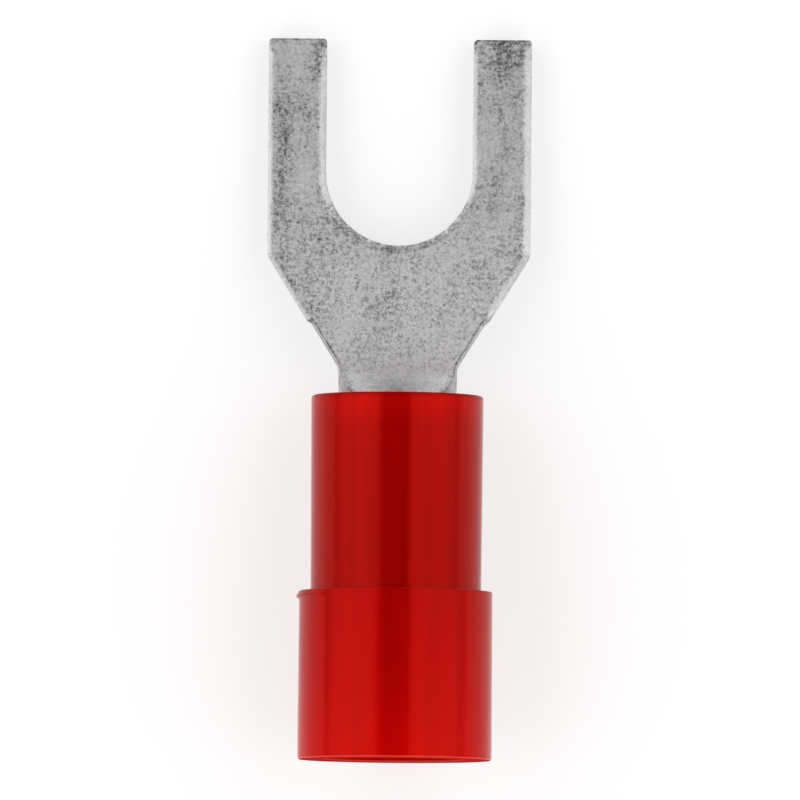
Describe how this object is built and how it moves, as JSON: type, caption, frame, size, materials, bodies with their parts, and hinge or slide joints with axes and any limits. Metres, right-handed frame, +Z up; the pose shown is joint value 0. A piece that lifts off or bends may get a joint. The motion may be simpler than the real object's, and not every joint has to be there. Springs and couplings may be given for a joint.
{
  "type": "fork terminal",
  "caption": "Insulated fork terminal: a flat forked metal tongue with an open stud slot, rolled into a wire barrel inside a stepped red plastic sleeve.",
  "frame": {"origin": "centre of the slot's round end, on the tongue's underside", "axes": "+Z up through the tongue, along the stud; +Y along the terminal towards the prongs' tips; the wire goes in from -Y; +X to the right, seen from above with the tips away"},
  "size_m": [0.0076, 0.0211, 0.0057],
  "materials": {
    "tinned_copper": "dull tin plating on copper sheet with a fine dark speckle and brighter rolled edges",
    "red_sleeve": "glossy, slightly translucent red moulded plastic"
  },
  "bodies": {
    "root": {"stamped_terminal": "tinned_copper", "insulating_sleeve": "red_sleeve"}
  },
  "joints": []
}
